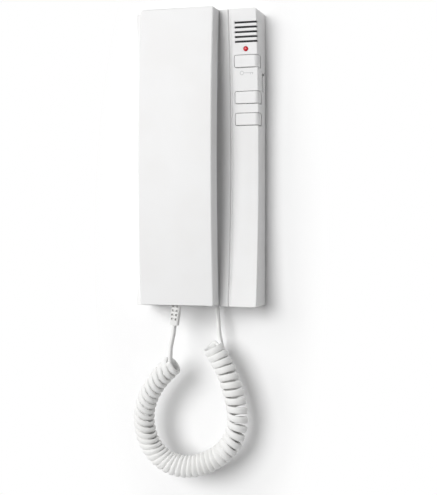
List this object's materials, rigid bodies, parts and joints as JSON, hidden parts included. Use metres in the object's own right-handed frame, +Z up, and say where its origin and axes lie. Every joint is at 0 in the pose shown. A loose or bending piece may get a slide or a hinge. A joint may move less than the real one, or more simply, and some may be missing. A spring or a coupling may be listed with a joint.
{
  "type": "wall door-entry handset",
  "caption": "Slim door-entry wall handset: bowed handset hung on a wall base with call slots, a red call lamp, wrap-round buttons, a side volume slider and a looped curly cord.",
  "frame": {"origin": "middle of the base's back face, which lies on the wall", "axes": "+Y into the wall, +Z up along the base, +X to the right seen from the room"},
  "size_m": [0.0925, 0.046, 0.3399],
  "materials": {
    "shell_white": "satin moulded ABS, off-white",
    "button_white": "satin moulded ABS, white",
    "plate_white": "plain moulded ABS",
    "cord_white": "soft PVC sheath",
    "rubber_grey": "matt",
    "rubber_black": "matt",
    "lamp_red": "clear red acrylic",
    "led_body": "epoxy",
    "board_green": "solder mask on fibreglass",
    "switch_black": "moulded nylon",
    "terminal_green": "moulded nylon",
    "plunger_white": "acetal",
    "speaker_steel": "plated",
    "gauze_black": "woven",
    "screw_steel": "zinc plated",
    "capsule_black": "painted",
    "mic_aluminium": "bare",
    "ballast_iron": "bare"
  },
  "bodies": {
    "base": {"wall_plate": "plate_white", "base_cover": "shell_white", "rest_pads": "rubber_grey", "circuit_board": "board_green", "board_screws": "screw_steel", "cover_screw": "screw_steel", "terminal_block": "terminal_green", "key_switches": "switch_black", "call_led": "led_body", "light_guide": "lamp_red", "call_speaker": "speaker_steel", "speaker_gauze": "gauze_black", "hook_switch": "switch_black", "volume_switch": "switch_black", "cord_grommet": "rubber_grey", "cord_coil": "cord_white", "cord_tail_base": "cord_white"},
    "handset": {"handset_front": "shell_white", "handset_back": "shell_white", "receiver": "capsule_black", "receiver_seal": "rubber_black", "microphone": "mic_aluminium", "microphone_boot": "rubber_black", "ballast_bar": "ballast_iron", "handset_screws": "screw_steel", "strain_relief": "cord_white", "cord_tail_handset": "cord_white"},
    "upper_key": {"upper_button": "button_white", "upper_key_pin": "switch_black"},
    "middle_key": {"middle_button": "button_white", "middle_key_pin": "switch_black"},
    "lower_key": {"lower_button": "button_white", "lower_key_pin": "switch_black"},
    "plunger": {"hook_plunger": "plunger_white"},
    "slider": {"volume_slider": "button_white"}
  },
  "joints": [
    {"name": "handset_lift", "type": "slide", "parent": "base", "child": "handset", "axis": [0, -1, 0], "range_m": [0, 0.04]},
    {"name": "plunger_slide", "type": "slide", "parent": "base", "child": "plunger", "axis": [0, -1, 0], "range_m": [0, 0.003]},
    {"name": "upper_key_press", "type": "slide", "parent": "base", "child": "upper_key", "axis": [0, 1, 0], "range_m": [0, 0.0012], "stiffness_N_per_m": 500},
    {"name": "middle_key_press", "type": "slide", "parent": "base", "child": "middle_key", "axis": [0, 1, 0], "range_m": [0, 0.0012], "stiffness_N_per_m": 500},
    {"name": "lower_key_press", "type": "slide", "parent": "base", "child": "lower_key", "axis": [0, 1, 0], "range_m": [0, 0.0012], "stiffness_N_per_m": 500},
    {"name": "volume_slide", "type": "slide", "parent": "base", "child": "slider", "axis": [0, 0, 1], "range_m": [0, 0.0016]}
  ],
  "couplings": [
    {"joint": "plunger_slide", "follows": "handset_lift", "ratio": 0.075}
  ]
}
